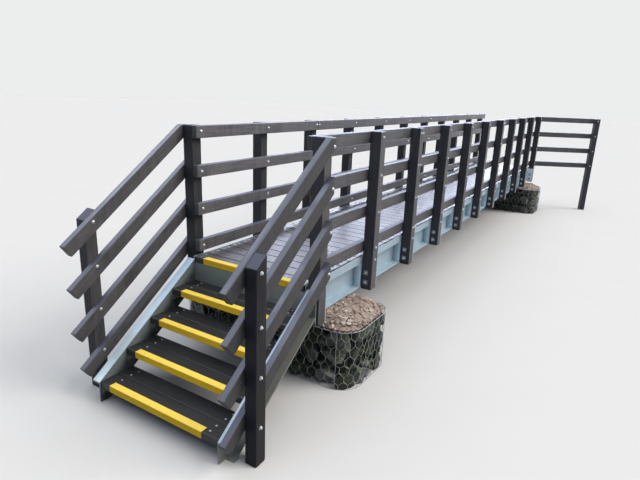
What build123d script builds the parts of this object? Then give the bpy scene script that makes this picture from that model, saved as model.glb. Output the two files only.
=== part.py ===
from build123d import *
import math
import os

# Footbridge of recycled plastic boards on two steel channels, with a straight stair.
# +X runs along the bridge away from the stair, +Y to the left, +Z up, millimetres.
# The origin is the centre of the near abutment's underside, on the floor.

# Overall layout
bay_count = 10
post_pitch = 890.0
end_margin = 36.0
deck_half_width = 560.0
post_gap = 2.0

# Stair
tread_count = 4
tread_rise = 168.0
tread_going = 236.0
top_rise = 208.0
top_going = 260.0
first_rise = 168.0
tread_overhang = 13.0
stair_shift = 20.0
tread_board = 140.0
board_gap = 5.0
board_thickness = 50.0

# Posts and rails
post_side = 100.0
post_top = 1088.0
post_foot_below_beam = 12.0
rail_thickness = 50.0
rail_height = 100.0
rail_count = 4
bottom_rail_gap = 40.0
rail_joint_posts = [2, 6]
rail_joint_gap = 6.0

# Stair rails and posts; the right-hand rails lie a little steeper than the stair
stair_rail_top = {"left": 1095.0, "right": 1076.0}
low_stair_rail_top = {"left": 102.0, "right": 131.0}
stair_rail_steeper = {"left": 0.0, "right": 0.02}
stair_rail_overhang = {"left": [100.0, 84.0, 86.0, 45.0], "right": [60.0, 57.0, 88.0, 85.0]}
stair_rail_short = 32.0
stair_post_length = 95.0
stair_post_width = 88.0
stair_post_setback = 98.0

# Main beams and deck edge, rolled channels and angles
beam_depth = 240.0
beam_width = 85.0
beam_flange = 13.0
beam_web = 9.5
edge_thickness = 6.0
edge_leg = 50.0
edge_gap = 7.0
end_plate = 8.0
cross_leg = 80.0
cross_thickness = 8.0

# Post brackets
bracket_thickness = 10.0
bracket_below_deck = 20.0

# Stringers and tread cleats
stringer_depth = 180.0
stringer_width = 75.0
stringer_flange = 11.0
stringer_web = 7.0
stringer_above_pitch = 0.0
stringer_gap = 2.0
stringer_front = 7.0
tread_end_gap = 0.3
cleat_leg = 110.0
cleat_upstand = 50.0
cleat_thickness = 6.0
cleat_length = 240.0
cleat_inset = 10.0

# Nosings
nosing_length = 900.0
nosing_top = 55.0
nosing_front = 50.0
nosing_thickness = 4.0

# Abutments
gabion_height = 500.0
gabion_length = 750.0
gabion_half_width = 920.0
gabion_corner = 200.0
gabion_setback = 150.0
bed_inset = 30.0
bed_clearance = 10.0

# Return fence at the far end, splayed outwards
return_bay = 1100.0
return_splay = 30.0

# Derived levels
deck_top = first_rise + (tread_count - 1) * tread_rise + top_rise
board_under = deck_top - board_thickness
beam_top = board_under - edge_thickness
beam_bottom = beam_top - beam_depth
post_bottom = beam_bottom - post_foot_below_beam

# Derived heights of the rails above the deck
rail_spacing = (post_top - bottom_rail_gap - rail_height) / (rail_count - 1)
rail_tops = [post_top - i * rail_spacing for i in range(rail_count)]

# Derived places along the bridge
deck_front = -(gabion_setback + gabion_length / 2)
deck_length = 2 * end_margin + bay_count * post_pitch + post_side
deck_end = deck_front + deck_length
post_x = [deck_front + end_margin + i * post_pitch for i in range(bay_count + 1)]
last_face = post_x[-1] + post_side

# Derived places across the bridge
tread_half_width = deck_half_width + tread_overhang
edge_outer = deck_half_width + edge_gap + edge_thickness
post_inner = edge_outer + post_gap
post_outer = post_inner + post_side
web_outer = edge_outer - beam_width + beam_web
stringer_inner = tread_half_width + stringer_gap

# Derived stair geometry
pitch_slope = tread_rise / tread_going
pitch_angle = math.atan(pitch_slope)
tread_front = [deck_front - top_going - i * tread_going for i in range(tread_count)]
tread_top = [deck_top - top_rise - i * tread_rise for i in range(tread_count)]

os.makedirs("parts", exist_ok=True)


def save(part, name):
    """Labels a finished piece and writes it as its own node."""
    part.label = name
    export_step(part, f"parts/{name}.step")


def pitch_z(x):
    """Height of the line through the tread nosings."""
    return tread_top[0] + pitch_slope * (x - tread_front[0])


def block(x0, x1, y0, y1, z0, z1):
    """Adds a rectangular block between two corners to the open part."""
    with Locations(((x0 + x1) / 2, (y0 + y1) / 2, (z0 + z1) / 2)):
        Box(x1 - x0, abs(y1 - y0), z1 - z0)


def side_profile(points, y0, y1, mode=Mode.ADD):
    """Extrudes a closed outline in the XZ plane from one Y to another."""
    low = min(y0, y1)
    with BuildSketch(Plane.XZ.offset(-low)) as profile:
        with BuildLine():
            Polyline(*points, close=True)
        make_face()
    extrude(profile.sketch, amount=-abs(y1 - y0), mode=mode)


sides = (("left", 1), ("right", -1))

# Posts, one node a side
for side, s in sides:
    with BuildPart() as posts:
        for x in post_x:
            block(x, x + post_side, s * post_inner, s * post_outer, post_bottom, deck_top + post_top)
    save(posts.part, f"{side}_posts")

# Bridge rails on the inner faces of the posts, in butted lengths
rail_breaks = [post_x[i] + post_side / 2 for i in rail_joint_posts]
rail_starts = [post_x[0]] + [x + rail_joint_gap / 2 for x in rail_breaks]
rail_ends = [x - rail_joint_gap / 2 for x in rail_breaks] + [last_face]
rail_names = ["top_rail", "second_rail", "third_rail", "bottom_rail"]
for side, s in sides:
    for rail_name, top in zip(rail_names, rail_tops):
        with BuildPart() as rail:
            for x0, x1 in zip(rail_starts, rail_ends):
                block(x0, x1, s * (post_inner - rail_thickness), s * post_inner,
                      deck_top + top - rail_height, deck_top + top)
        save(rail.part, f"{side}_{rail_name}")

# Main beams, channels with their toes outward
beam_start = deck_front + nosing_thickness + end_plate
beam_end = deck_end - end_plate
for side, s in sides:
    with BuildPart() as beam:
        block(beam_start, beam_end, s * (edge_outer - beam_width), s * edge_outer, beam_bottom, beam_top)
        with Locations(((beam_start + beam_end) / 2, s * (web_outer + edge_outer) / 2,
                        (beam_bottom + beam_top) / 2)):
            Box(beam_end - beam_start, edge_outer - web_outer, beam_depth - 2 * beam_flange,
                mode=Mode.SUBTRACT)
    save(beam.part, f"{side}_main_beam")

# Edge angles that carry and close the ends of the deck boards
for side, s in sides:
    with BuildPart() as edge:
        block(beam_start, beam_end, s * (edge_outer - edge_thickness), s * edge_outer, beam_top, deck_top)
        block(beam_start, beam_end, s * (edge_outer - edge_leg), s * edge_outer, beam_top, board_under)
    save(edge.part, f"{side}_deck_edge")

# Brackets: two stiffeners in the beam at each post, one of them with a taller plate bolted to the post
for side, s in sides:
    with BuildPart() as brackets:
        for i, x in enumerate(post_x):
            before, behind = x - bracket_thickness, x + post_side
            for x0 in (before, behind):
                block(x0, x0 + bracket_thickness, s * web_outer, s * edge_outer,
                      beam_bottom + beam_flange, beam_top - beam_flange)
            x0 = before if i == bay_count else behind
            block(x0, x0 + bracket_thickness, s * edge_outer, s * post_outer, beam_bottom,
                  deck_top - bracket_below_deck)
    save(brackets.part, f"{side}_post_brackets")

# Cross members between the beams, one under each inner post
cross_half = edge_outer - beam_width
with BuildPart() as cross:
    for x in post_x[1:-1]:
        x0 = x + (post_side - cross_leg) / 2
        block(x0, x0 + cross_thickness, -cross_half, cross_half, beam_top - beam_flange - cross_leg,
              beam_top - beam_flange)
        block(x0, x0 + cross_leg, -cross_half, cross_half, beam_top - beam_flange - cross_thickness,
              beam_top - beam_flange)
save(cross.part, "cross_members")

# End plates; the near one also carries the stringers
stringer_outer = stringer_inner + stringer_width
with BuildPart() as near_plate:
    block(deck_front + nosing_thickness, beam_start, -stringer_outer - stair_shift,
          stringer_outer - stair_shift, beam_bottom, board_under)
save(near_plate.part, "near_end_plate")
with BuildPart() as far_plate:
    block(beam_end, deck_end, -edge_outer, edge_outer, beam_bottom, board_under)
save(far_plate.part, "far_end_plate")

# Deck
with BuildPart() as deck:
    block(deck_front + nosing_thickness, deck_end, -deck_half_width, deck_half_width, board_under, deck_top)
save(deck.part, "deck")

# Treads, two boards each, the front board behind its nosing
for i in range(tread_count):
    with BuildPart() as tread:
        for k in range(2):
            x0 = tread_front[i] + nosing_thickness + k * (tread_board + board_gap)
            x1 = min(x0 + tread_board, deck_front + nosing_thickness - tread_end_gap)
            block(x0, x1, -tread_half_width - stair_shift, tread_half_width - stair_shift,
                  tread_top[i] - board_thickness, tread_top[i])
    save(tread.part, f"tread_{i + 1}")

# Nosings, angles over the front edges
nosing_places = [("deck_nosing", deck_front, deck_top)]
for i in range(tread_count):
    nosing_places.append((f"tread_nosing_{i + 1}", tread_front[i], tread_top[i]))
for name, x, z in nosing_places:
    with BuildPart() as nosing:
        top = z + nosing_thickness
        side_profile([(x, top), (x + nosing_top, top), (x + nosing_top, z), (x + nosing_thickness, z),
                      (x + nosing_thickness, top - nosing_front), (x, top - nosing_front)],
                     -nosing_length / 2, nosing_length / 2)
    save(nosing.part, name)

# Stringers, channels on the pitch of the stair with their toes outward
stringer_foot = tread_front[-1] - stringer_front
stringer_head = deck_front + nosing_thickness
stringer_drop = stringer_depth / math.cos(pitch_angle)
flange_drop = stringer_flange / math.cos(pitch_angle)


def stringer_top(x):
    """Top edge of the stringers."""
    return pitch_z(x) + stringer_above_pitch


def floor_cut(top_drop, bottom_drop):
    """Outline between two lines under the stringer's top edge, cut off at the floor."""
    x_low = stringer_foot + max(0.0, (bottom_drop - stringer_top(stringer_foot)) / pitch_slope)
    foot = [(x_low, max(0.0, stringer_top(x_low) - bottom_drop))]
    if x_low > stringer_foot:
        foot.append((stringer_foot, 0.0))
    return foot + [
        (stringer_foot, stringer_top(stringer_foot) - top_drop),
        (stringer_head, stringer_top(stringer_head) - top_drop),
        (stringer_head, stringer_top(stringer_head) - bottom_drop),
    ]


for side, s in sides:
    with BuildPart() as stringer:
        toes = s * stringer_outer - stair_shift
        side_profile(floor_cut(0.0, stringer_drop), s * stringer_inner - stair_shift, toes)
        side_profile(floor_cut(flange_drop, stringer_drop - flange_drop),
                     s * (stringer_inner + stringer_web) - stair_shift, toes, mode=Mode.SUBTRACT)
    save(stringer.part, f"{side}_stringer")

# Cleats under the ends of the treads, on the stringers' inner faces
with BuildPart() as cleats:
    for i in range(tread_count):
        x0 = tread_front[i] + nosing_thickness + cleat_inset
        top = tread_top[i] - board_thickness
        for side, s in sides:
            wall = s * stringer_inner - stair_shift
            block(x0, x0 + cleat_length, wall - s * cleat_leg, wall, top - cleat_thickness, top)
            block(x0, x0 + cleat_length, wall - s * cleat_thickness, wall, top - cleat_upstand, top)
save(cleats.part, "tread_cleats")

# Stair rails on the outer faces of the corner posts, square at their lower ends
stair_rail_end = post_x[0] + post_side - stair_rail_short


def stair_rail_z(side, height, x):
    """Height of a stair rail's top face that stands this far above the front of the top tread."""
    return pitch_z(x) + height + stair_rail_steeper[side] * (x - tread_front[0])


for side, s in sides:
    slope = pitch_slope + stair_rail_steeper[side]
    rail_drop = rail_height * math.hypot(1, slope)
    cut_run = rail_height * math.sin(math.atan(slope))
    cut_fall = rail_height * math.cos(math.atan(slope))
    spacing = (stair_rail_top[side] - low_stair_rail_top[side]) / (rail_count - 1)
    with BuildPart() as stair_rails:
        for i in range(rail_count):
            height = stair_rail_top[side] - i * spacing
            start = tread_front[-1] - stair_rail_overhang[side][i]
            z0 = stair_rail_z(side, height, start)
            z1 = stair_rail_z(side, height, stair_rail_end)
            limit = deck_top + post_top
            outline = [(start, z0), (start + cut_run, z0 - cut_fall),
                       (stair_rail_end, z1 - rail_drop)]
            if z1 > limit:
                outline.append((stair_rail_end, limit))
                outline.append((stair_rail_end - (z1 - limit) / slope, limit))
            else:
                outline.append((stair_rail_end, z1))
            side_profile(outline, s * post_outer, s * (post_outer + rail_thickness))
    save(stair_rails.part, f"{side}_stair_rails")

# Posts at the foot of the stair, outside the stair rails and cut off on the slope with the top one
stair_post_inner = post_outer + rail_thickness
stair_post_x = tread_front[-1] + stair_post_setback
stair_post_back = stair_post_x + stair_post_length
for side, s in sides:
    with BuildPart() as stair_post:
        side_profile([(stair_post_x, 0), (stair_post_back, 0),
                      (stair_post_back, stair_rail_z(side, stair_rail_top[side], stair_post_back)),
                      (stair_post_x, stair_rail_z(side, stair_rail_top[side], stair_post_x))],
                     s * stair_post_inner, s * (stair_post_inner + stair_post_width))
    save(stair_post.part, f"{side}_stair_post")

# Abutments: a stone-filled basket and the bed of stones under the beams
near_gabion_x = -gabion_length / 2
far_gabion_x = deck_end - gabion_setback - gabion_length
for end, x0 in (("near", near_gabion_x), ("far", far_gabion_x)):
    with BuildPart() as gabion:
        with BuildSketch() as basket:
            with Locations((x0 + gabion_length / 2, 0)):
                RectangleRounded(gabion_length, 2 * gabion_half_width, gabion_corner)
        extrude(amount=gabion_height)
    save(gabion.part, f"{end}_gabion")
    bed_half = post_inner - bed_clearance
    with BuildPart() as bed:
        bed_end = x0 + gabion_length - bed_inset
        block(x0 + bed_inset, bed_end, -bed_half, bed_half, gabion_height, beam_bottom)
    save(bed.part, f"{end}_stone_bed")

# Return fence: one bay from the last right-hand post, whose rails are mitred onto that post
return_length = return_bay + post_side
splay = math.radians(return_splay)
along = Vector(math.sin(splay), -math.cos(splay))
inward = Vector(math.cos(splay), math.sin(splay))
corner = Vector(last_face, -post_outer)
rail_tip = corner + along * return_length
rail_outline = [corner, rail_tip, rail_tip + inward * rail_thickness,
                corner + Vector(0, rail_thickness / math.sin(splay))]
post_outline = [rail_tip, rail_tip - along * post_side, rail_tip - along * post_side - inward * post_side,
                rail_tip - inward * post_side]


def upright(outline, z0, z1):
    """Extrudes a closed outline in plan from one height to another."""
    with BuildSketch(Plane.XY.offset(z0)) as plan:
        with BuildLine():
            Polyline(*outline, close=True)
        make_face()
    extrude(plan.sketch, amount=z1 - z0)


with BuildPart() as return_post:
    upright(post_outline, 0, deck_top + post_top)
save(return_post.part, "return_fence_post")
with BuildPart() as return_rails:
    for top in rail_tops:
        upright(rail_outline, deck_top + top - rail_height, deck_top + top)
save(return_rails.part, "return_fence_rails")
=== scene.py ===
import math
import random

import bmesh
import bpy
from mathutils import Matrix, Vector


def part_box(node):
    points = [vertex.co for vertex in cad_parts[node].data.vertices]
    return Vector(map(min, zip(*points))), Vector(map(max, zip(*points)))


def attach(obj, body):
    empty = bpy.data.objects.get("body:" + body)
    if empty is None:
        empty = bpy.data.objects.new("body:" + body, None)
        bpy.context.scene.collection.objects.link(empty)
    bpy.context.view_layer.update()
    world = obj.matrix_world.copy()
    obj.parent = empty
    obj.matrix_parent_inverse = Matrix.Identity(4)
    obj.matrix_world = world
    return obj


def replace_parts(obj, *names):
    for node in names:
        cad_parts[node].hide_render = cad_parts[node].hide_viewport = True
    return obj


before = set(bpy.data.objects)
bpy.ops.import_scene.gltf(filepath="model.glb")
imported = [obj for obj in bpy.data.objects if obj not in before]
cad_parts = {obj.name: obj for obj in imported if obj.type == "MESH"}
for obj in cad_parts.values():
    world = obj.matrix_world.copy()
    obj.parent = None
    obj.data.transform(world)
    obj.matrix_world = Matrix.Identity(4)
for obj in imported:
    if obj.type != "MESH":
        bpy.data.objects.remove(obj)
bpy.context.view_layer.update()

# Looks of the plastic footbridge, in metres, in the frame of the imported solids.

chance = random.Random(11)
between = chance.uniform
everything = "root"

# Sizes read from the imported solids
post_low, post_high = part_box("left_posts")
rail_low, rail_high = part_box("left_top_rail")
deck_low, deck_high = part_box("deck")
tread_low, tread_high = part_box("tread_4")
first_low, first_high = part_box("tread_1")
stair_post_low, stair_post_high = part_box("left_stair_post")
beam_low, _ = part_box("left_main_beam")

# Layout that the solids share
bay_count = 10
post_side = post_high.y - post_low.y
post_pitch = (post_high.x - post_low.x - post_side) / bay_count
post_x = [post_low.x + i * post_pitch for i in range(bay_count + 1)]
post_inner = post_low.y
post_outer = post_high.y
rail_face = rail_low.y
rail_thickness = rail_high.y - rail_low.y
rail_height = rail_high.z - rail_low.z
rail_names = ("top_rail", "second_rail", "third_rail", "bottom_rail")
joint_posts = (2, 6)
sides = (("left", 1), ("right", -1))
deck_top = deck_high.z
board_thickness = deck_high.z - deck_low.z
tread_count = 4
pitch_slope = (first_high.z - tread_high.z) / (first_low.x - tread_low.x)
return_splay = math.radians(30)

# Stair rails: heights of the top and the lowest one over the top tread's nosing, and their extra slope
stair_rail_heights = {"left": (1.095, 0.102), "right": (1.076, 0.131)}
stair_rail_steeper = {"left": 0.0, "right": 0.02}

# Boards
deck_board_pitch = 0.145
deck_gap = 0.008
joint_lap = 0.0037
joint_shade = 0.0085
board_gap = 0.005
board_end_gap = 0.0015
board_end_wander = 0.0012
tread_board = 0.140
rib_pitch = 0.010
rib_depth = 0.0022
rib_land = 0.0055
board_round = 0.004
deck_screw_inset = 0.045
tread_screw_inset = 0.105
board_screw_places = (0.28, 0.75)
screw_sink = 0.0006
screw_wander_x = 0.004
screw_wander_y = 0.006

# Fixings
washer_radius = 0.0130
bolt_head_radius = 0.0095
bolt_head_height = 0.0070
washer_thickness = 0.0025
plate_washer = 0.044
plate_washer_thickness = 0.004
screw_radius = 0.0080
joint_bolt_spread = 0.026
bolt_wander_x = 0.004
bolt_wander_z = 0.005
bracket_thickness = 0.010
bracket_bolt_inset = 0.042
bracket_bolt_drops = (0.150, 0.240)
edge_bolt_drop = 0.028
stringer_web = 0.007
cleat_bolt_places = (0.070, 0.190)
cleat_bolt_drop = 0.028

# Bolts at the stair's foot: shift along the bridge, and rise from the middle of each rail
foot_bolt_shift = {"left": (-0.007, (0.020, 0.020, 0.020, 0.020)),
                   "right": (-0.004, (0.0, -0.018, -0.030, -0.060))}

# Eased edges
plastic_round = 0.0055
steel_round = 0.0015

# Nosings
nosing_thickness = 0.004
nosing_round = 0.003

# Stone baskets
mesh_width = 0.080
twist_length = 0.042
mesh_rise = 0.075
mesh_inset = 0.0036
lid_inset = 0.006
knot_wander = 0.006
wire_radius = 0.0014
rim_radius = 0.0022
lacing_radius = 0.0075
lacing_pitch = 0.045
rim_steps = 120
corner_wire_places = (0.06, 0.305, 0.56, 0.81)
basket_corner = 0.200
stone_spacing = 0.160
stone_swell = (1.30, 1.65)
stone_wander = (0.020, 0.020, 0.015)
stone_inset = 0.005
stone_press = 0.010
wedged_stones = 190
wedge_inset = 0.055
wedge_sizes = (0.034, 0.058)
core_inset = 0.095
core_foot = 0.02
gravel_count = 1500
gravel_fine_share = 0.75
gravel_fine = (0.008, 0.020)
gravel_coarse = (0.020, 0.034)
gravel_crown = 0.078
gravel_skirt = 0.006
gravel_inset = 0.02
mound_steps = (26, 60)
mound_inset = 0.03
mound_sink = 0.014
mound_wander = 0.006

# Angles in degrees up to which faces shade as one
fixing_smooth = 35
stone_smooth = 40
wire_smooth = 60


# Materials

along_x, along_y, along_z = 0, 1, 2


def new_material(name, roughness, metallic=0.0, specular=0.5):
    """A material with a plain principled surface, ready for its texture."""
    paint = bpy.data.materials.new(name)
    paint.use_nodes = True
    surface = paint.node_tree.nodes["Principled BSDF"]
    surface.inputs["Roughness"].default_value = roughness
    surface.inputs["Metallic"].default_value = metallic
    surface.inputs["Specular IOR Level"].default_value = specular
    return paint


def feed(paint, value, socket):
    """Links a socket into another, or sets a plain value on it."""
    if isinstance(value, bpy.types.NodeSocket):
        paint.node_tree.links.new(value, socket)
    elif isinstance(value, tuple) and len(value) == 3 and len(socket.default_value) == 4:
        socket.default_value = (*value, 1)
    else:
        socket.default_value = value


def add(paint, kind, inputs=None, **settings):
    """Adds a shader node with these settings and inputs to a material or the world."""
    node = paint.node_tree.nodes.new("ShaderNode" + kind)
    for key, value in settings.items():
        setattr(node, key, value)
    for key, value in (inputs or {}).items():
        feed(paint, value, node.inputs[key])
    return node


def place(paint, grain=(1, 1, 1), turn=(0, 0, 0)):
    """Object coordinates, turned to a member and then shrunk along its grain."""
    coordinates = add(paint, "TexCoord")
    inputs = {"Vector": coordinates.outputs["Object"], "Rotation": turn, "Scale": grain}
    mapping = add(paint, "Mapping", inputs, vector_type="TEXTURE")
    return mapping.outputs["Vector"]


def noise(paint, where, scale, detail=4.0, roughness=0.55):
    """Value of a noise texture."""
    inputs = {"Vector": where, "Scale": scale, "Detail": detail, "Roughness": roughness}
    return add(paint, "TexNoise", inputs).outputs["Fac"]


def cells(paint, where, scale, output="Distance"):
    """Value or colour of a cell texture."""
    return add(paint, "TexVoronoi", {"Vector": where, "Scale": scale}).outputs[output]


def ramp(paint, value, *stops):
    """Colours a value through stops of (position, colour or grey)."""
    node = add(paint, "ValToRGB", {"Fac": value})
    elements = node.color_ramp.elements
    while len(elements) < len(stops):
        elements.new(0.5)
    for element, (position, colour) in zip(elements, stops):
        element.position = position
        element.color = (*colour, 1) if isinstance(colour, tuple) else (colour, colour, colour, 1)
    return node.outputs["Color"]


def mix(paint, amount, first, second, blend="MIX"):
    """Blends two colours."""
    node = add(paint, "Mix", data_type="RGBA", blend_type=blend)
    feed(paint, amount, node.inputs[0])
    feed(paint, first, node.inputs[6])
    feed(paint, second, node.inputs[7])
    return node.outputs[2]


def coat(paint, colour, *layers):
    """Lays colours over a colour, each as (value, start, end, colour) with stops of (value, amount)."""
    for value, start, end, layer in layers:
        colour = mix(paint, ramp(paint, value, start, end), colour, layer)
    return colour


def scaled(colour, shares):
    """A colour times one share, or times a share for each of red, green and blue."""
    if not isinstance(shares, tuple):
        shares = (shares,) * 3
    return tuple(share * value for share, value in zip(shares, colour))


def calc(paint, operation, first, second):
    """One sum on two values."""
    node = add(paint, "Math", operation=operation)
    feed(paint, first, node.inputs[0])
    feed(paint, second, node.inputs[1])
    return node.outputs[0]


def times(paint, first, second):
    """Two values multiplied."""
    return calc(paint, "MULTIPLY", first, second)


def part(paint, vector, axis):
    """The X, Y or Z of a vector."""
    return add(paint, "SeparateXYZ", {"Vector": vector}).outputs[axis]


def seen_or_mirrored(paint):
    """1 for rays from the camera, off gloss and through glass, 0 for the rays that light the scene."""
    path = add(paint, "LightPath")
    indirect = calc(paint, "MAXIMUM", path.outputs["Is Glossy Ray"], path.outputs["Is Transmission Ray"])
    return calc(paint, "MAXIMUM", path.outputs["Is Camera Ray"], indirect)


def facing_up(paint, start=0.5, end=0.95):
    """1 on faces that look up, 0 on upright ones."""
    geometry = add(paint, "NewGeometry")
    return ramp(paint, part(paint, geometry.outputs["Normal"], "Z"), (start, 0.0), (end, 1.0))


def facing_back(paint):
    """1 on faces that look down the stair, 0 on the rest."""
    geometry = add(paint, "NewGeometry")
    backward = times(paint, part(paint, geometry.outputs["Normal"], "X"), -1.0)
    return ramp(paint, backward, (0.5, 0.0), (0.9, 1.0))


def off_centre(paint):
    """Distance from the bridge's middle line."""
    return calc(paint, "ABSOLUTE", part(paint, place(paint), "Y"), 0.0)


def own_tint(paint):
    """The tint that a joined piece carries for each of its small solids."""
    return add(paint, "Attribute", attribute_name="tint").outputs["Fac"]


def island(paint):
    """A random value for each separate solid of a mesh."""
    return add(paint, "NewGeometry").outputs["Random Per Island"]


def finish_surface(paint, colour, roughness, heights):
    """Connects colour, roughness and bumps, given as (height, strength, distance), to the surface."""
    surface = paint.node_tree.nodes["Principled BSDF"]
    feed(paint, colour, surface.inputs["Base Color"])
    feed(paint, roughness, surface.inputs["Roughness"])
    normal = None
    for height, strength, distance in heights:
        bump = add(paint, "Bump", {"Height": height, "Strength": strength, "Distance": distance})
        if normal is not None:
            feed(paint, normal, bump.inputs["Normal"])
        normal = bump.outputs["Normal"]
    if normal is not None:
        feed(paint, normal, surface.inputs["Normal"])
    return paint


def rail_plastic(name, axis, shade, turn=(0, 0, 0), sheen=0.32, level_gloss=0.66):
    """Weathered charcoal recycled plastic, grained along a member and rain-streaked down it, with a painted
    sky tint on its tops and painted shade on faces that look down the stair.
    """

    def grey(red, green, blue):
        return scaled((red, green, blue), shade)

    paint = new_material(name, 0.5, specular=sheen)
    grain = [1.0, 1.0, 1.0]
    grain[axis] = 16.0
    here = place(paint)
    streaks = noise(paint, place(paint, tuple(grain), turn), 90.0, 6.0, 0.6)
    rain = noise(paint, place(paint, (1.0, 1.0, 9.0)), 26.0, 4.0, 0.6)
    clouds = noise(paint, here, 4.0, 5.0, 0.6)
    specks = noise(paint, here, 160.0, 3.0, 0.7)
    colour = ramp(paint, streaks, (0.30, grey(0.039, 0.036, 0.037)), (0.52, grey(0.065, 0.060, 0.060)),
                  (0.72, grey(0.100, 0.092, 0.089)))
    colour = coat(
        paint, colour,
        (rain, (0.34, 0.50), (0.50, 0.0), grey(0.034, 0.033, 0.036)),
        (rain, (0.56, 0.0), (0.74, 0.45), grey(0.120, 0.111, 0.107)),
        (clouds, (0.42, 0.0), (0.68, 0.45), grey(0.088, 0.080, 0.076)),
        (island(paint), (0.0, 0.0), (1.0, 0.30), grey(0.036, 0.036, 0.042)),
        (specks, (0.66, 0.0), (0.74, 0.45), (0.20, 0.190, 0.180)))
    # Painted sky reflection: tops that look up are tinted pale blue, and level tops dark blue, for the
    # sky's light on them.
    painted_sky_tint = facing_up(paint, 0.60, 0.80)
    level = facing_up(paint, 0.86, 0.97)
    colour = mix(paint, times(paint, painted_sky_tint, 0.50), colour, (0.110, 0.120, 0.175))
    colour = mix(paint, times(paint, level, 0.85), colour, (0.022, 0.031, 0.058))
    # Painted shade: faces that look down the stair are darkened and blued.
    colour = mix(paint, times(paint, facing_back(paint), 0.45), colour, (0.020, 0.025, 0.036))
    gloss = mix(paint, level, ramp(paint, clouds, (0.3, 0.36), (0.7, 0.58)), (level_gloss,) * 3)
    return finish_surface(paint, colour, gloss, ((streaks, 0.25, 0.002), (specks, 0.18, 0.0008)))


def board_plastic(name, dark, light, shine, joints=None):
    """Ribbed board plastic, worn on its ribs, each board with its own shade.

    Joints, given as (first joint's place, board pitch, half width of the deck), and the board ends get a
    dark, matt band of dirt and painted shade."""
    paint = new_material(name, 0.5, specular=shine)
    here = place(paint)
    streaks = noise(paint, place(paint, (1.0, 14.0, 1.0)), 120.0, 6.0, 0.6)
    clouds = noise(paint, here, 3.2, 5.0, 0.6)
    grit = noise(paint, here, 260.0, 3.0, 0.7)
    colour = coat(
        paint, ramp(paint, streaks, (0.30, dark), (0.70, light)),
        (own_tint(paint), (0.0, 0.0), (1.0, 0.55), dark),
        (clouds, (0.45, 0.0), (0.72, 0.5), scaled(light, 0.62)),
        (grit, (0.64, 0.0), (0.72, 0.5), scaled(light, 1.35)))
    gloss = ramp(paint, clouds, (0.3, 0.36), (0.7, 0.43))
    if joints:
        first, board_pitch, half_width = joints
        along = calc(paint, "SUBTRACT", part(paint, here, "X"), first)
        from_joint = calc(paint, "PINGPONG", along, board_pitch / 2)
        from_end = calc(paint, "SUBTRACT", half_width, off_centre(paint))
        nearest = calc(paint, "MINIMUM", from_joint, times(paint, from_end, 1.2))
        # Dirt and painted shade: a dark, matt band along each joint and at the board ends, for the shade in
        # the gaps.
        shade = 10 * joint_shade
        joint_dirt_and_shade = ramp(paint, times(paint, nearest, 10.0), (0.75 * shade, 0.92), (1.15 * shade, 0.0))
        colour = mix(paint, joint_dirt_and_shade, colour, scaled(dark, 0.35))
        gloss = mix(paint, joint_dirt_and_shade, gloss, (0.95, 0.95, 0.95))
    return finish_surface(paint, colour, gloss, ((streaks, 0.3, 0.0015), (grit, 0.2, 0.0006)))


def over_pitch(paint, start, end):
    """1 over the line of the stair's pitch, 0 well under it."""
    coordinates = add(paint, "TexCoord")
    rise = add(paint, "VectorMath", operation="DOT_PRODUCT")
    feed(paint, coordinates.outputs["Object"], rise.inputs[0])
    rise.inputs[1].default_value = (-pitch_slope, 0.0, 1.0)
    level = calc(paint, "SUBTRACT", rise.outputs["Value"], first_high.z - pitch_slope * first_low.x)
    return ramp(paint, calc(paint, "ADD", level, 0.5), (0.5 + start, 0.0), (0.5 + end, 1.0))


def rinse_and_paint_light(paint, colour, washed_and_skylit, mud_and_shade, clouds, fine):
    """Brightens what looks up along the stair above its pitch with washed steel and a painted sky
    highlight, darker and bluer towards the deck as painted shade, and muddies what is under its pitch, the
    muck partly painted shade.

    Gives the colour and how bright each place is."""
    here = place(paint)
    high_up = over_pitch(paint, -0.13, -0.05)
    splash = ramp(paint, noise(paint, here, 12.0, 6.0), (0.35, 0.45), (0.65, 1.0))
    low_down = calc(paint, "SUBTRACT", 1.0, high_up)
    # Muck and painted shade under the pitch, in splashes.
    colour = mix(paint, times(paint, low_down, splash), colour, mud_and_shade)
    # Painted sky highlight on upward faces above the pitch, in patches.
    worn = times(paint, facing_up(paint), ramp(paint, clouds, (0.3, 1.0), (0.8, 0.6)))
    bright = times(paint, worn, high_up)
    # Painted shade: the highlight darkens and turns bluer higher up, towards the deck.
    skylit_wash = coat(
        paint, washed_and_skylit,
        (part(paint, here, "Z"), (0.32, 0.0), (0.80, 1.0), scaled(washed_and_skylit, (0.42, 0.54, 0.68))),
        (fine, (0.4, 0.0), (0.65, 0.45), scaled(washed_and_skylit, 0.7)))
    return mix(paint, bright, colour, skylit_wash), bright


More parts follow.
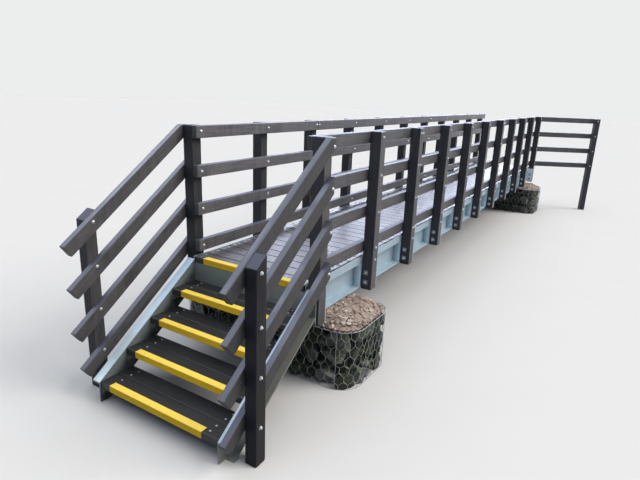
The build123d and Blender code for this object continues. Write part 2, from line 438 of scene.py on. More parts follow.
def galvanised(name, light, washed_and_skylit=None, mud_and_shade=None, painted_edge_light=None):
    """Dull galvanised steel with spangle, white bloom and rain streaks, washed where the stair's is, with a
    painted sky highlight, muck and painted shade on the stair.

    With a painted edge light, faces that look down the stair are painted brighter towards the bridge's
    outer side."""
    paint = new_material(name, 0.5, metallic=0.25, specular=0.5)
    here = place(paint)
    drips = noise(paint, place(paint, (1.0, 1.0, 9.0)), 22.0, 5.0, 0.6)
    spangle = cells(paint, here, 55.0, "Color")
    clouds = noise(paint, here, 2.6, 5.0, 0.6)
    fine = noise(paint, here, 90.0, 4.0, 0.6)
    colour = coat(
        paint, mix(paint, 0.10, light, spangle, "SOFT_LIGHT"),
        (clouds, (0.40, 0.0), (0.70, 0.45), scaled(light, 0.66)),
        (drips, (0.55, 0.0), (0.75, 0.40), scaled(light, (0.70, 0.60, 0.50))),
        (fine, (0.60, 0.0), (0.70, 0.30), scaled(light, 1.4)))
    gloss = ramp(paint, clouds, (0.3, 0.38), (0.7, 0.60))
    if washed_and_skylit:
        colour, bright = rinse_and_paint_light(paint, colour, washed_and_skylit, mud_and_shade, clouds, fine)
        gloss = mix(paint, bright, gloss, (0.62, 0.62, 0.62))
    if painted_edge_light:
        # Painted highlight: the brackets' faces that look down the stair grow brighter towards their outer
        # edge.
        outward = ramp(paint, off_centre(paint), (post_inner - 0.072, 0.0), (post_inner - 0.006, 1.0))
        colour = mix(paint, times(paint, facing_back(paint), outward), colour, painted_edge_light)
    return finish_surface(paint, colour, gloss, ((fine, 0.12, 0.001), (drips, 0.10, 0.001)))


def grip_yellow():
    """Yellow gritted nosing with trodden patches of dirt and a painted sky highlight on its tops."""
    paint = new_material("nosing_grip", 0.75, specular=0.25)
    here = place(paint)
    grains = cells(paint, here, 520.0)
    grit = noise(paint, here, 420.0, 3.0, 0.8)
    dirt = noise(paint, here, 26.0, 6.0, 0.65)
    colour = coat(
        paint, ramp(paint, grit, (0.35, (0.92, 0.49, 0.015)), (0.60, (1.0, 0.66, 0.033))),
        (dirt, (0.55, 0.0), (0.78, 0.40), (0.42, 0.25, 0.020)),
        (grains, (0.0, 0.4), (0.22, 0.0), (0.30, 0.18, 0.015)))
    # Painted sky highlight: tops are paler yellow.
    colour = mix(paint, times(paint, facing_up(paint), 0.5), colour, (1.0, 0.80, 0.17))
    return finish_surface(paint, colour, 0.78, ((grains, 0.5, 0.001), (grit, 0.4, 0.0008)))


def rock(name, low, middle, high, moss):
    """Rough stone, each with its own shade, with moss or dirt in patches."""
    paint = new_material(name, 0.85, specular=0.25)
    here = place(paint)
    coarse = noise(paint, here, 22.0, 8.0, 0.65)
    fine = noise(paint, here, 180.0, 5.0, 0.7)
    colour = ramp(paint, own_tint(paint), (0.0, low), (0.55, middle), (1.0, high))
    colour = coat(
        paint, mix(paint, 0.75, colour, ramp(paint, coarse, (0.3, 0.25), (0.7, 0.75)), "OVERLAY"),
        (noise(paint, here, 7.0, 5.0), (0.46, 0.0), (0.62, 0.85), moss),
        (fine, (0.58, 0.0), (0.72, 0.45), scaled(high, 1.4)))
    return finish_surface(paint, colour, 0.88, ((coarse, 0.7, 0.012), (fine, 0.5, 0.002)))


def zinc(name, base, roughness):
    """Zinc-plated fixings and wire, dull in places."""
    paint = new_material(name, roughness, metallic=0.7)
    patches = noise(paint, place(paint), 60.0, 4.0, 0.6)
    colour = coat(paint, base, (patches, (0.40, 0.0), (0.66, 0.6), scaled(base, 0.55)))
    gloss = ramp(paint, patches, (0.3, roughness), (0.7, roughness + 0.25))
    return finish_surface(paint, colour, gloss, ((patches, 0.15, 0.0006),))


def by_side(kind, axis, left, right, **looks):
    """The rail plastics of the two sides: lit and shaded copies of one plastic, whose shade settings paint
    in how brightly each side is lit.
    """
    return {side: rail_plastic(f"{side}_{kind}_plastic", axis, shade, **looks)
            for side, shade in (("left", left), ("right", right))}


pitch_turn = -math.atan(pitch_slope)
deck_length = deck_high.x - deck_low.x
board_total = round(deck_length / deck_board_pitch)
board_step = (deck_length + deck_gap) / board_total
joint_layout = (deck_low.x - deck_gap / 2, board_step, deck_high.y)
# Painted light: each side's plastic is the same, brightened or darkened by its shade setting for how that
# side is lit; so too the stair rails below.
post_materials = by_side("post", along_z, 0.60, 1.42, sheen=0.20)
stair_post_materials = by_side("stair_post", along_z, 1.25, 0.42, sheen=0.08, level_gloss=0.95)
rail_materials = by_side("rail", along_x, 1.75, 1.35)
stair_rail_materials = {
    "left": rail_plastic("left_stair_rail_plastic", along_x, 1.35, (0.0, pitch_turn, 0.0)),
    "right": rail_plastic("right_stair_rail_plastic", along_x, 0.80, (0.0, pitch_turn, 0.0), sheen=0.26)}
# Painted light: a much brightened copy, for the bright light round the far fence.
return_rail_material = rail_plastic("return_rail_plastic", along_y, 3.4, (0.0, 0.0, return_splay))
deck_material = board_plastic("deck_plastic", (0.056, 0.050, 0.056), (0.135, 0.122, 0.139), 0.75,
                              joint_layout)
tread_material = board_plastic("tread_plastic", (0.014, 0.0137, 0.0137), (0.046, 0.044, 0.044), 0.32)
steel_material = galvanised("galvanised_steel", (0.405, 0.505, 0.565))
bracket_steel = galvanised("galvanised_bracket", (0.425, 0.525, 0.590), painted_edge_light=(0.78, 0.90, 0.97))
# Painted shade: a darker copy of the galvanised colour, for steel that stands in shade under the deck and
# the treads.
shaded_steel = (0.25, 0.285, 0.27)
# Lit and shaded copies: the left stringer gets a bright painted sky highlight and near-black painted shade
# under the treads, the right one a dimmer highlight and paler muck.
stair_steel = {
    "left": galvanised("galvanised_left_stair", shaded_steel, (0.80, 0.94, 1.0), (0.045, 0.042, 0.039)),
    "right": galvanised("galvanised_right_stair", shaded_steel, (0.40, 0.50, 0.63), (0.21, 0.198, 0.168))}
plate_steel = galvanised("galvanised_plate", shaded_steel)
nosing_material = grip_yellow()
basket_stone = rock("gabion_stone", (0.026, 0.028, 0.023), (0.074, 0.079, 0.060), (0.27, 0.26, 0.22),
                    (0.056, 0.074, 0.028))
bed_stone = rock("bed_stone", (0.24, 0.17, 0.135), (0.46, 0.36, 0.29), (0.62, 0.55, 0.47),
                 (0.30, 0.22, 0.17))
wire_material = zinc("mesh_wire", (0.41, 0.41, 0.44), 0.45)
fixing_material = zinc("zinc_fixing", (0.53, 0.56, 0.59), 0.34)
washer_material = zinc("dull_washer", (0.30, 0.31, 0.33), 0.55)


# Meshes

def wander(reach):
    """A random shift either way."""
    return between(-reach, reach)


def linked(name, data):
    """A new object in the scene."""
    piece = bpy.data.objects.new(name, data)
    bpy.context.scene.collection.objects.link(piece)
    return piece


class Pile:
    """Collects small solids into one mesh; each keeps a tint of its own."""

    def __init__(self):
        self.points, self.faces, self.tints = [], [], []

    def add(self, points, faces, tint=0.5):
        start = len(self.points)
        self.points.extend(points)
        self.faces.extend([start + i for i in face] for face in faces)
        self.tints.extend([tint] * len(points))

    def build(self, name, material, slot, smooth_angle=None):
        """Makes the object and hangs it on the part."""
        mesh = bpy.data.meshes.new(name)
        mesh.from_pydata(self.points, [], self.faces)
        tint = mesh.attributes.new("tint", "FLOAT", "POINT")
        tint.data.foreach_set("value", self.tints)
        mesh.materials.append(material)
        if smooth_angle is not None:
            mesh.polygons.foreach_set("use_smooth", [True] * len(mesh.polygons))
            mesh.set_sharp_from_angle(angle=math.radians(smooth_angle))
        mesh.update()
        piece = linked(name, mesh)
        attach(piece, everything)
        return piece


def across(pile, outline, y0, y1, tint=0.5):
    """Adds a bar with this XZ outline, given anticlockwise seen from -Y, from one Y to another."""
    count = len(outline)
    points = [(x, y0, z) for x, z in outline] + [(x, y1, z) for x, z in outline]
    faces = [list(range(count)), list(range(2 * count - 1, count - 1, -1))]
    faces += [[i, i + count, (i + 1) % count + count, (i + 1) % count] for i in range(count)]
    pile.add(points, faces, tint)


def ring_faces(rings, steps):
    """Faces between rings of points, and a cap on the last one."""
    faces = [[ring + i, ring + (i + 1) % steps, ring + steps + (i + 1) % steps, ring + steps + i]
             for ring in range(0, (rings - 1) * steps, steps) for i in range(steps)]
    return faces + [[(rings - 1) * steps + i for i in range(steps)]]


def lathe(pile, profile, spot, direction, steps, spin=0.0):
    """Turns a profile of (radius, height) round an axis that starts at a spot."""
    turn = Vector(direction).normalized().to_track_quat("Z", "Y").to_matrix()
    angles = [spin + 2 * math.pi * i / steps for i in range(steps)]
    points = [Vector(spot) + turn @ Vector((radius * math.cos(angle), radius * math.sin(angle), height))
              for radius, height in profile for angle in angles]
    pile.add(points, ring_faces(len(profile), steps))


def washer(pile, spot, direction):
    """A round washer; gives the place on top of it."""
    radius, height = washer_radius, washer_thickness
    lathe(pile, ((radius, 0.0), (radius, height * 0.8), (radius * 0.94, height)), spot, direction, 16)
    return Vector(spot) + Vector(direction) * height


def dome_bolt(pile, spot, direction):
    """A coach bolt's domed head on its washer."""
    radius, height = bolt_head_radius, bolt_head_height
    dome = ((radius, 0.0), (radius * 0.96, height * 0.35), (radius * 0.75, height * 0.75),
            (radius * 0.38, height * 0.97))
    lathe(pile, dome, washer(pile, spot, direction), direction, 12)


def hex_nut(pile, spot, direction):
    """A nut on its washer, with the bolt's end standing through."""
    radius, height = bolt_head_radius, bolt_head_height
    base = washer(pile, spot, direction)
    nut = ((radius * 0.98, 0.0), (radius * 0.98, height * 0.8), (radius * 0.85, height))
    lathe(pile, nut, base, direction, 6, spin=between(0, math.pi))
    bolt_end = ((radius * 0.5, 0.0), (radius * 0.5, height * 1.35), (radius * 0.4, height * 1.5))
    lathe(pile, bolt_end, base, direction, 8)


def screw(pile, spot, direction):
    """A screw's low head with its driver recess."""
    lathe(pile, ((screw_radius, 0.0), (screw_radius * 0.9, 0.0012), (screw_radius * 0.45, 0.0016),
                 (screw_radius * 0.3, 0.0004)), spot, direction, 8)


def ribbed_outline(x0, x1, top, thickness, lap_back=0.0, lap_front=0.0):
    """Outline of a board whose top is ribbed across its width, with eased edges.

    Laps widen its lower half, so that nothing shines through the joints."""
    bottom = top - thickness
    middle = top - thickness / 2
    outline = [(x0 - lap_back, middle), (x0 - lap_back, bottom), (x1 + lap_front, bottom),
               (x1 + lap_front, middle), (x1, middle + 0.0005), (x1, top - board_round),
               (x1 - board_round, top)]
    count = int((x1 - x0 - 3 * board_round) / rib_pitch)
    start = (x0 + x1 + count * rib_pitch) / 2
    groove = rib_pitch - rib_land
    slope = groove / 4
    for i in range(count):
        right = start - i * rib_pitch - groove / 2 + slope
        left = right - groove + 2 * slope
        outline += [(right + slope, top), (right, top - rib_depth), (left, top - rib_depth),
                    (left - slope, top)]
    outline += [(x0 + board_round, top), (x0, top - board_round), (x0, middle + 0.0005)]
    return outline[::-1]


# Boards

def board(pile, screws, x0, x1, y0, y1, top, screw_inset, laps=(0.0, 0.0)):
    """One ribbed board with two screws at each end."""
    shift = wander(board_end_wander)
    outline = ribbed_outline(x0, x1, top, board_thickness, *laps)
    across(pile, outline, y0 + shift, y1 + shift, chance.random())
    for y in (y0 + screw_inset, y1 - screw_inset):
        for share in board_screw_places:
            x = x0 + share * (x1 - x0) + wander(screw_wander_x)
            screw(screws, (x, y + wander(screw_wander_y), top - screw_sink), (0, 0, 1))


def deck_boards(screws):
    """The deck as separate ribbed boards laid across the beams."""
    pile = Pile()
    for i in range(board_total):
        x0 = deck_low.x + i * board_step
        laps = (joint_lap if i else 0.0, joint_lap if i < board_total - 1 else 0.0)
        board(pile, screws, x0, x0 + board_step - deck_gap, deck_low.y + board_end_gap,
              deck_high.y - board_end_gap, deck_top, deck_screw_inset, laps)
    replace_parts(pile.build("deck_boards", deck_material, "deck_plastic"), "deck")


def tread_boards(screws):
    """Each tread as two ribbed boards."""
    for i in range(tread_count):
        node = f"tread_{i + 1}"
        low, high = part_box(node)
        pile = Pile()
        splits = ((low.x, low.x + tread_board), (low.x + tread_board + board_gap, high.x))
        for x0, x1 in splits:
            board(pile, screws, x0, x1, low.y + board_end_gap, high.y - board_end_gap, high.z,
                  tread_screw_inset)
        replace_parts(pile.build(f"{node}_boards", tread_material, "tread_plastic"), node)


def nosings():
    """Gritted angles over the front edges, with eased edges."""
    names = ["deck_nosing"] + [f"tread_nosing_{i + 1}" for i in range(tread_count)]
    for name in names:
        low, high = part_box(name)
        t, r = nosing_thickness, nosing_round
        outline = [(low.x, low.z), (low.x + t, low.z), (low.x + t, high.z - t), (high.x, high.z - t),
                   (high.x, high.z - 0.3 * t), (high.x - 0.3 * t, high.z)]
        outline += [(low.x + r - r * math.sin(a), high.z - r + r * math.cos(a))
                    for a in (i * math.pi / 8 for i in range(5))]
        pile = Pile()
        across(pile, outline, low.y, high.y)
        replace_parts(pile.build(f"{name}_grip", nosing_material, "nosing_grip"), name)


# Fixings

def stair_rail_middle(side, index, x):
    """Height of the middle of a stair rail at a place along the stair."""
    high, low = stair_rail_heights[side]
    slope = pitch_slope + stair_rail_steeper[side]
    nosing_x = first_low.x - nosing_thickness
    top = first_high.z + high - index * (high - low) / (len(rail_names) - 1) + slope * (x - nosing_x)
    return top - rail_height * math.hypot(1, slope) / 2


def post_bolts(bolts):
    """Bolts through the bridge rails and posts, two at a joint of the rails."""
    for side, s in sides:
        for i, x in enumerate(post_x):
            paired = (-joint_bolt_spread, joint_bolt_spread)
            places = paired if i in joint_posts else (wander(bolt_wander_x),)
            for name in rail_names:
                low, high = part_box(f"{side}_{name}")
                z = (low.z + high.z) / 2 + wander(bolt_wander_z)
                for shift in places:
                    middle = x + post_side / 2 + shift
                    dome_bolt(bolts, (middle, s * rail_face, z), (0, -s, 0))
                    if i:
                        hex_nut(bolts, (middle, s * post_outer, z), (0, s, 0))


def square_washer(pile, spot, direction):
    """A square plate washer with eased corners."""
    half = plate_washer / math.sqrt(2)
    profile = ((half, 0.0), (half, plate_washer_thickness - 0.001), (half - 0.001, plate_washer_thickness))
    lathe(pile, profile, spot, direction, 4, spin=math.pi / 4)


def bracket_bolts(bolts, washers):
    """Pairs of bolts that hold the posts to their brackets, and one through each beam."""
    for side, s in sides:
        y = s * (post_inner + bracket_bolt_inset)
        for i, x in enumerate(post_x):
            last = i == bay_count
            front = x - bracket_thickness if last else x
            back = x + post_side if last else x + post_side + bracket_thickness
            for drop in bracket_bolt_drops:
                z = deck_top - drop
                square_washer(washers, (front, y, z), (-1, 0, 0))
                dome_bolt(bolts, (front - plate_washer_thickness, y, z), (-1, 0, 0))
                hex_nut(bolts, (back, y, z), (1, 0, 0))
            if i:
                dome_bolt(bolts, (x + post_side / 2, s * post_outer, deck_top - edge_bolt_drop), (0, s, 0))


def stair_bolts(bolts):
    """Bolts of the stair rails at the corner posts and at the stair's foot."""
    foot = (stair_post_low.x + stair_post_high.x) / 2
    rail_outer = stair_post_low.y
    post_face = stair_post_high.y
    for side, s in sides:
        shift, rises = foot_bolt_shift[side]
        for index, rise in enumerate(rises):
            z = stair_rail_middle(side, index, foot) + rise
            dome_bolt(bolts, (foot + shift, s * post_outer, z), (0, -s, 0))
            hex_nut(bolts, (foot + shift, s * post_face, z), (0, s, 0))
            head_x = post_x[0] + 0.4 * post_side
            z = min(stair_rail_middle(side, index, head_x), post_high.z - rail_height * 0.62)
            dome_bolt(bolts, (head_x, s * rail_outer, z), (0, s, 0))


def return_bolts(bolts):
    """Bolts of the return fence at its own post."""
    low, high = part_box("return_fence_post")
    middle = Vector(((low.x + high.x) / 2, (low.y + high.y) / 2, 0))
    inward = Vector((math.cos(return_splay), math.sin(return_splay), 0))
    for name in rail_names:
        low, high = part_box(f"right_{name}")
        spot = middle + Vector((0, 0, (low.z + high.z) / 2))
        dome_bolt(bolts, spot + inward * (post_side / 2 + rail_thickness), inward)
        hex_nut(bolts, spot - inward * (post_side / 2), -inward)


def stringer_bolts(bolts):
    """Nuts on the stringers' webs, of the bolts that hold the tread cleats."""
    for side, s in sides:
        low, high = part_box(f"{side}_stringer")
        wall = (low.y if s > 0 else high.y) + s * stringer_web
        for i in range(tread_count):
            node_low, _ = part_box(f"tread_{i + 1}")
            for along in cleat_bolt_places:
                hex_nut(bolts, (node_low.x + along, wall, node_low.z - cleat_bolt_drop), (0, s, 0))


# Stone baskets

def stone_shapes(count, corners, eased):
    """Angular stones of unit size, as lists of points and faces."""
    shapes = []
    for _ in range(count):
        mesh = bmesh.new()
        for _ in range(corners):
            point = Vector([chance.gauss(0, 1) for _ in range(3)]).normalized()
            mesh.verts.new(point * between(0.78, 1.0))
        hull = bmesh.ops.convex_hull(mesh, input=mesh.verts)
        spare = [v for v in hull["geom_interior"] if isinstance(v, bmesh.types.BMVert)]
        bmesh.ops.delete(mesh, geom=spare, context="VERTS")
        if eased:
            bmesh.ops.bevel(mesh, geom=mesh.verts[:] + mesh.edges[:], offset=0.10, segments=1, profile=0.6,
                            affect="EDGES", clamp_overlap=True)
        mesh.verts.index_update()
        shapes.append(([v.co.copy() for v in mesh.verts], [[v.index for v in f.verts] for f in mesh.faces]))
        mesh.free()
    return shapes


def random_turn(axis):
    """A turn by a random angle."""
    return Matrix.Rotation(between(0, 2 * math.pi), 3, axis)


def lay_stone(pile, shapes, spot, size, flat=1.0, held=None):
    """Adds one stone, turned at random and stretched, and held in by (low, high, inset) of a basket."""
    points, faces = chance.choice(shapes)
    turn = random_turn("Z") @ random_turn("X")
    stretch = Matrix.Diagonal((size * between(0.85, 1.25), size * between(0.8, 1.1),
                               size * between(0.7, 1.0) * flat))
    settle = random_turn("Z")
    placed = [Vector(spot) + settle @ stretch @ turn @ point for point in points]
    pile.add([pressed(point, *held) for point in placed] if held else placed, faces, chance.random())


def corner_centres(low, high, inset):
    """Radius and ranges in X and Y of the rounded corners' centres, for an outline drawn in by an inset."""
    radius = basket_corner - inset
    reach_x = (low.x + inset + radius, high.x - inset - radius)
    reach_y = (low.y + inset + radius, high.y - inset - radius)
    return radius, reach_x, reach_y


def in_basket(x, y, low, high, inset):
    """Moves a place in plan to lie inside the basket's rounded outline."""
    radius, (x0, x1), (y0, y1) = corner_centres(low, high, inset)
    core = Vector((min(max(x, x0), x1), min(max(y, y0), y1)))
    away = Vector((x, y)) - core
    if away.length > radius:
        away = away.normalized() * radius
    return core + away


def pressed(point, low, high, inset):
    """A point of a stone, pressed in behind the mesh."""
    flat = in_basket(point.x, point.y, low, high, inset)
    return Vector((flat.x, flat.y, min(max(point.z, low.z + 0.001), high.z - inset)))


def grid_stone(pile, shapes, low, high, cell, counts):
    """One big stone near its place on the basket's grid."""
    size = 0.5 * stone_spacing * between(*stone_swell)
    x, y, z = (start + (step + 0.5) * (end - start) / count + wander(reach)
               for start, end, step, count, reach in zip(low, high, cell, counts, stone_wander))
    z = low.z + size * 0.36 if cell[2] == 0 else min(z, high.z - size * 0.6)
    spot = in_basket(x, y, low, high, 0.50 * size + stone_inset)
    inset = stone_inset + between(0.0, stone_press)
    lay_stone(pile, shapes, (spot.x, spot.y, z), size, 1.15, (low, high, inset))


def wall_stones(pile, shapes, low, high):
    """Big stones on a grid, at the basket's sides, corners and top."""
    columns, rows, layers = (max(2, round(length / stone_spacing)) for length in high - low)
    for i in range(columns):
        for j in range(rows):
            for k in range(layers):
                edge = i in (0, columns - 1) or j in (0, rows - 1) or k == layers - 1
                near_corner = min(i, columns - 1 - i) + min(j, rows - 1 - j) < 3
                if edge or near_corner:
                    grid_stone(pile, shapes, low, high, (i, j, k), (columns, rows, layers))


def wedge_stones(pile, shapes, low, high):
    """Small stones wedged between the big ones, more of them low down."""
    length, at = basket_round(low, high, wedge_inset)
    held = (low, high, stone_inset + stone_press)
    for _ in range(wedged_stones):
        spot, _ = at(length * chance.random())
        size = between(*wedge_sizes)
        z = low.z + 0.02 + (high.z - low.z - 0.05) * chance.random() ** 1.4
        lay_stone(pile, shapes, (spot.x, spot.y, z), size, 1.0, held)


def shade_core(pile, low, high):
    """A block in the stones' darkest colour inside them, so that nothing shows between them: painted shade.
    """
    x0, x1 = low.x + core_inset, high.x - core_inset
    y0, y1 = low.y + core_inset, high.y - core_inset
    plan = ((x0, y0), (x1, y0), (x1, y1), (x0, y1))
    corners = [(x, y, z) for z in (low.z + core_foot, high.z - core_inset) for x, y in plan]
    faces = [[3, 2, 1, 0], [4, 5, 6, 7], [0, 1, 5, 4], [1, 2, 6, 5], [2, 3, 7, 6], [3, 0, 4, 7]]
    # Tint 0 gives the stones' darkest colour: painted shade.
    pile.add(corners, faces, 0.0)


def basket_stones(end, shapes):
    """The stones of one basket, packed close behind its mesh."""
    low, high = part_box(f"{end}_gabion")
    pile = Pile()
    wall_stones(pile, shapes, low, high)
    wedge_stones(pile, shapes, low, high)
    shade_core(pile, low, high)
    piece = pile.build(f"{end}_basket_stones", basket_stone, "gabion_stone", stone_smooth)
    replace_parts(piece, f"{end}_gabion")


def gravel_height(x, y, low, high, crown):
    """Height of the heap of gravel on a basket: full under the beams, falling away to the rim."""
    middle = (low.x + high.x) / 2
    across_share = max(0.0, (abs(y) - post_outer) / (high.y - post_outer))
    along_share = max(0.0, abs(x - middle) / (high.x - middle) - 0.55) / 0.45
    share = min(1.0, math.hypot(across_share, along_share))
    return high.z + gravel_skirt + (crown - gravel_skirt) * (0.5 + 0.5 * math.cos(math.pi * share))


def gravel_mound(pile, low, high, crown):
    """The rough mound under the loose gravel."""
    steps_x, steps_y = mound_steps
    grid = []
    for i in range(steps_x + 1):
        for j in range(steps_y + 1):
            x = low.x + (high.x - low.x) * i / steps_x
            y = low.y + (high.y - low.y) * j / steps_y
            held = in_basket(x, y, low, high, mound_inset)
            z = gravel_height(held.x, held.y, low, high, crown) - mound_sink + wander(mound_wander)
            grid.append((held.x, held.y, z))
    row = steps_y + 1
    faces = [[k, k + row, k + row + 1, k + 1]
             for i in range(steps_x) for k in range(i * row, i * row + steps_y)]
    pile.add(grid, faces, 0.15)


def bed_stones(end, shapes):
    """Gravel heaped on a basket up to the beams: a rough mound with loose stones over it."""
    low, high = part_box(f"{end}_gabion")
    crown = min(gravel_crown, beam_low.z - high.z - 0.004)
    pile = Pile()
    gravel_mound(pile, low, high, crown)
    for _ in range(gravel_count):
        size = between(*(gravel_fine if chance.random() < gravel_fine_share else gravel_coarse))
        x, y = between(low.x, high.x), between(low.y, high.y)
        held = in_basket(x, y, low, high, gravel_inset + size)
        top = gravel_height(held.x, held.y, low, high, crown)
        z = min(top - 0.3 * size, beam_low.z - 0.85 * size - 0.002)
        lay_stone(pile, shapes, (held.x, held.y, z), size, 0.8)
    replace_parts(pile.build(f"{end}_bed_gravel", bed_stone, "bed_stone", stone_smooth), f"{end}_stone_bed")


def tube(pile, path, radius, edges=5):
    """Adds a thin wire along a path of points."""
    points = []
    for i, spot in enumerate(path):
        ahead = (path[min(i + 1, len(path) - 1)] - path[max(i - 1, 0)]).normalized()
        side = ahead.orthogonal().normalized() if i == 0 else (side - side.dot(ahead) * ahead).normalized()
        other = ahead.cross(side)
        for k in range(edges):
            angle = 2 * math.pi * k / edges
            points.append(spot + radius * (math.cos(angle) * side + math.sin(angle) * other))
    faces = ring_faces(len(path), edges)
    faces.insert(-1, list(range(edges))[::-1])
    pile.add(points, faces)


def twist(pile, start, end, outward):
    """Two wires twisted round each other between two points."""
    ahead = end - start
    side = outward.cross(ahead).normalized()
    steps = 7
    for phase in (0.0, math.pi):
        path = []
        for i in range(steps):
            angle = phase + 2.6 * math.pi * i / (steps - 1)
            path.append(start + ahead * i / (steps - 1) + 1.25 * wire_radius * (
                math.cos(angle) * side + math.sin(angle) * outward.normalized()))
        tube(pile, path, wire_radius, 4)


def basket_round(low, high, inset):
    """Length of the basket's rounded outline, and a function from a place on it to (point, outward)."""
    radius, (x0, x1), (y0, y1) = corner_centres(low, high, inset)
    centres = ((x1, y0), (x1, y1), (x0, y1), (x0, y0))
    quarter = math.pi * radius / 2
    lengths = (y1 - y0, quarter, x1 - x0, quarter) * 2

    def at(s):
        s %= sum(lengths)
        for i, length in enumerate(lengths):
            if s <= length:
                break
            s -= length
        leg, on_corner = divmod(i, 2)
        angle = math.radians(leg * 90) + on_corner * s / radius
        outward = Vector((math.cos(angle), math.sin(angle)))
        if on_corner:
            return Vector(centres[(leg + 1) % 4]) + outward * radius, outward
        along = Vector((-outward.y, outward.x))
        return Vector(centres[leg]) + outward * radius + along * s, outward

    return sum(lengths), at


def knot_shift(shifts, key, dent):
    """A knot's own small shift, drawn when it is first met."""
    if key not in shifts:
        shifts[key] = (wander(knot_wander), wander(knot_wander), between(*dent))
    return shifts[key]


def weave(pile, knot, rows, columns, height=math.inf, bow=None):
    """Weaves mesh: twists that part to two tips in the next row, up to a height."""
    for row in range(rows + 1):
        for column in range(columns):
            place_on = column + 0.5 * (row % 2)
            foot, outward = knot(place_on, row * mesh_rise)
            head, _ = knot(place_on, row * mesh_rise + twist_length)
            if foot and head:
                twist(pile, foot, head, outward)
            if (row + 1) * mesh_rise > height:
                continue
            for step in (-0.5, 0.5):
                tip, _ = knot(place_on + step, (row + 1) * mesh_rise)
                if head and tip:
                    middle = [(head + tip) / 2 + outward * bow] if bow else []
                    tube(pile, [head, *middle, tip], wire_radius, 4)


def mesh_wall(pile, low, high, length, at):
    """The mesh round a basket."""
    columns = round(length / mesh_width)
    height = high.z - low.z
    shifts = {}

    def on_wall(column, rise):
        z = min(low.z + rise, high.z)
        key = (round(column * 2) % (2 * columns), round(z, 4))
        slide, lift, dent = knot_shift(shifts, key, (-0.005, 0.0))
        spot, outward = at((column * length / columns + slide) % length)
        inner = spot + outward * dent
        return Vector((inner.x, inner.y, min(max(z + lift, low.z + 0.004), high.z))), outward.to_3d()

    weave(pile, on_wall, int((height - 0.01) / mesh_rise), columns, height, 0.0015)


def mesh_lid(pile, low, high):
    """The mesh over the top of a basket."""
    shifts = {}

    def on_lid(column, run):
        slide_x, slide_y, dip = knot_shift(shifts, (round(column * 2), round(run, 4)), (-0.006, -0.001))
        x, y = low.x + run + slide_x, low.y + column * mesh_width + slide_y
        held = in_basket(x, y, low, high, lid_inset)
        inside = (held - Vector((x, y))).length < 0.02
        return Vector((held.x, held.y, high.z + dip)) if inside else None, Vector((0, 0, 1))

    rows = int((high.x - low.x) / mesh_rise)
    columns = int((high.y - low.y) / mesh_width)
    weave(pile, on_lid, rows, columns + 1)


def lacing(pile, high, length, at):
    """A thin wire wound round the top rim."""
    steps = 8
    total = int(length / lacing_pitch) * steps
    lace = []
    for i in range(total + 1):
        spot, outward = at(length * i / total * 0.9999)
        angle = 2 * math.pi * i / steps
        reach = lacing_radius * between(0.75, 1.0)
        inner = spot - outward * lacing_radius * 0.6 + outward * reach * math.cos(angle) * 0.6
        lace.append(Vector((*inner, high.z - rim_radius + reach * math.sin(angle))))
    tube(pile, lace, wire_radius, 4)


def rim_wires(pile, low, high, length, at):
    """Thick edge wires at the top, the foot and the corners, and the lacing along the top."""
    for z in (high.z - rim_radius, low.z + rim_radius):
        path = [at(length * i / rim_steps)[0].to_3d() + Vector((0, 0, z)) for i in range(rim_steps + 1)]
        tube(pile, path, rim_radius)
    lacing(pile, high, length, at)
    steps = 8
    for share in corner_wire_places:
        path = []
        for i in range(steps + 1):
            spot, outward = at(length * share + wander(0.003))
            z = low.z + rim_radius + (high.z - low.z - 2 * rim_radius) * i / steps
            path.append((spot - outward * between(0, 0.004)).to_3d() + Vector((0, 0, z)))
        tube(pile, path, rim_radius)


def basket_mesh(end):
    """Hexagonal wire mesh round and over a basket, with laced rim wires."""
    low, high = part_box(f"{end}_gabion")
    length, at = basket_round(low, high, mesh_inset)
    pile = Pile()
    mesh_wall(pile, low, high, length, at)
    mesh_lid(pile, low, high)
    rim_wires(pile, low, high, length, at)
    pile.build(f"{end}_basket_mesh", wire_material, "gabion_stone", wire_smooth)


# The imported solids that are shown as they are

def dress(node, material, bevel, slot):
    """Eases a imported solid's edges and gives it its material."""
    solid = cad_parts[node]
    solid.data.materials.clear()
    solid.data.materials.append(material)
    weld = solid.modifiers.new("join corners", "WELD")
    weld.merge_threshold = 0.00005
    ease = solid.modifiers.new("eased edges", "BEVEL")
    ease.width = bevel
    ease.segments = 2
    ease.limit_method = "ANGLE"
    ease.loop_slide = False
    ease.angle_limit = math.radians(28)


def dress_solids():
    """Posts, rails, beams and plates."""
    plastic = (plastic_round, "rail_plastic")
    steel = (steel_round, "galvanised_steel")
    for side, _ in sides:
        dress(f"{side}_posts", post_materials[side], *plastic)
        dress(f"{side}_stair_post", stair_post_materials[side], *plastic)
        for name in rail_names:
            dress(f"{side}_{name}", rail_materials[side], *plastic)
        dress(f"{side}_stair_rails", stair_rail_materials[side], *plastic)
        dress(f"{side}_main_beam", steel_material, *steel)
        dress(f"{side}_deck_edge", steel_material, *steel)
        dress(f"{side}_post_brackets", bracket_steel, *steel)
        dress(f"{side}_stringer", stair_steel[side], *steel)
    dress("return_fence_post", post_materials["right"], *plastic)
    dress("return_fence_rails", return_rail_material, *plastic)
    for name in ("cross_members", "near_end_plate", "far_end_plate", "tread_cleats"):
        dress(name, plate_steel, *steel)


# Stage

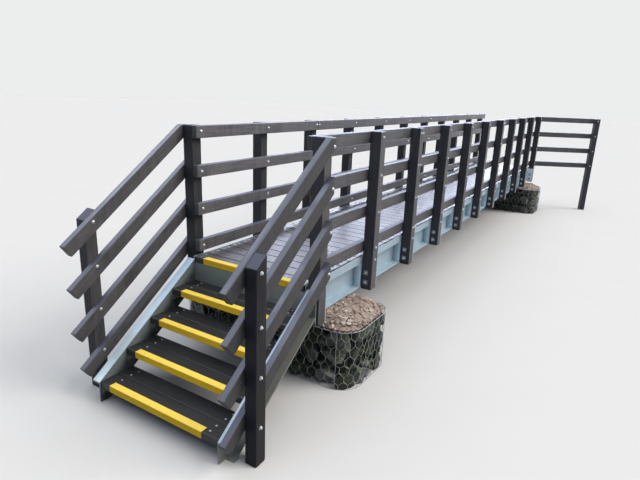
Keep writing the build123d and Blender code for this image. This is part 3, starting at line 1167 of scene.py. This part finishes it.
def floor():
    """A plain pale floor; it lights the bridge less than it shows."""
    mesh = bpy.data.meshes.new("floor")
    reach = 90.0
    corners = [(-reach, -reach, 0), (reach, -reach, 0), (reach, reach, 0), (-reach, reach, 0)]
    mesh.from_pydata(corners, [], [[0, 1, 2, 3]])
    plane = linked("floor", mesh)
    paint = new_material("floor_paint", 0.95, specular=0.0)
    mottle = noise(paint, place(paint), 1.5, 3.0)
    pale = ramp(paint, mottle, (0.3, (0.605, 0.575, 0.545)), (0.7, (0.615, 0.585, 0.555)))
    finish_surface(paint, mix(paint, seen_or_mirrored(paint), (0.13, 0.14, 0.16), pale), 0.9, ())
    mesh.materials.append(paint)


def sky():
    """A pale background for the camera and for gloss, and a weak blue light for everything else."""
    world = bpy.data.worlds.new("sky")
    bpy.context.scene.world = world
    world.use_nodes = True
    world.node_tree.nodes.clear()
    output = add(world, "OutputWorld")
    seen = add(world, "Background", {"Color": (0.84, 0.845, 0.85), "Strength": 1.0})
    fill = add(world, "Background", {"Color": (0.55, 0.72, 1.0), "Strength": 0.28})
    blend = add(world, "MixShader", {"Fac": seen_or_mirrored(world)})
    feed(world, fill.outputs[0], blend.inputs[1])
    feed(world, seen.outputs[0], blend.inputs[2])
    feed(world, blend.outputs[0], output.inputs["Surface"])


def stage():
    """The floor, the background, two lamps and two panels."""
    floor()
    sky()
    lamp("soft_key", (0.32, -0.80, 0.72), 3.0, 38, (1.0, 0.985, 0.96))
    lamp("overhead", (-0.10, 0.10, 1.0), 2.2, 70, (0.90, 0.95, 1.0))
    sky_card("far_sky", (28.0, 4.2, 13.0), (-3.4, -2.4, 2.2), 31.6, 15.0, 24500.0, (0.72, 0.79, 1.0))
    sky_card("high_sky", (-2.2, 7.7, 13.1), (-1.1, -0.6, 1.2), 9.0, 9.0, 2400.0, (0.76, 0.82, 1.0))


def hang(name, kind, spot, direction, **looks):
    """Hangs a light so that it shines from a direction."""
    light = bpy.data.lights.new(name, kind)
    for key, value in looks.items():
        setattr(light, key, value)
    holder = linked(name, light)
    holder.location = spot
    holder.rotation_euler = direction.to_track_quat("Z", "Y").to_euler()
    return holder


def lamp(name, direction, strength, spread, colour):
    """A wide distant lamp that shines from a direction."""
    hang(name, "SUN", (0, 0, 0), Vector(direction), energy=strength, angle=math.radians(spread),
         color=colour)


def sky_card(name, spot, target, width, height, power, colour):
    """A large soft panel that shows only as sheen, and isn't seen itself."""
    card = hang(name, "AREA", spot, Vector(spot) - Vector(target), shape="RECTANGLE", size=width,
                size_y=height, energy=power, color=colour)
    card.visible_camera = False
    card.visible_diffuse = False


def camera():
    """The photograph's own viewpoint: place, yaw, pitch, roll and focal length in pixels of 640."""
    spot = Vector((-3.43494537, -2.44254292, 2.24231262))
    yaw, pitch, roll = 0.543376982, -0.281952769, 0.0403650387
    focal, picture_width, sensor = 501.596228, 640, 36
    ahead = Vector((math.cos(yaw) * math.cos(pitch), math.sin(yaw) * math.cos(pitch), math.sin(pitch)))
    level = Vector((math.sin(yaw), -math.cos(yaw), 0))
    raised = level.cross(ahead)
    right = math.cos(roll) * level + math.sin(roll) * raised
    up = math.cos(roll) * raised - math.sin(roll) * level
    holder = linked("camera", bpy.data.cameras.new("camera"))
    turn = Matrix((right, up, -ahead)).transposed().to_4x4()
    turn.translation = spot
    holder.matrix_world = turn
    holder.data.sensor_width = sensor
    holder.data.lens = focal / picture_width * sensor
    holder.data.clip_end = 400
    bpy.context.scene.camera = holder


dress_solids()
screws, bolts, washers = Pile(), Pile(), Pile()
deck_boards(screws)
tread_boards(screws)
nosings()
post_bolts(bolts)
bracket_bolts(bolts, washers)
stair_bolts(bolts)
return_bolts(bolts)
stringer_bolts(bolts)
bolts.build("bolts_and_nuts", fixing_material, "galvanised_steel", fixing_smooth)
screws.build("board_screws", fixing_material, "galvanised_steel", fixing_smooth)
washers.build("square_washers", washer_material, "galvanised_steel", fixing_smooth)
big_stones = stone_shapes(14, 13, True)
small_stones = stone_shapes(10, 10, False)
for end in ("near", "far"):
    basket_stones(end, big_stones)
    basket_mesh(end)
    bed_stones(end, small_stones)
stage()
camera()
bpy.context.scene.view_settings.view_transform = "Standard"
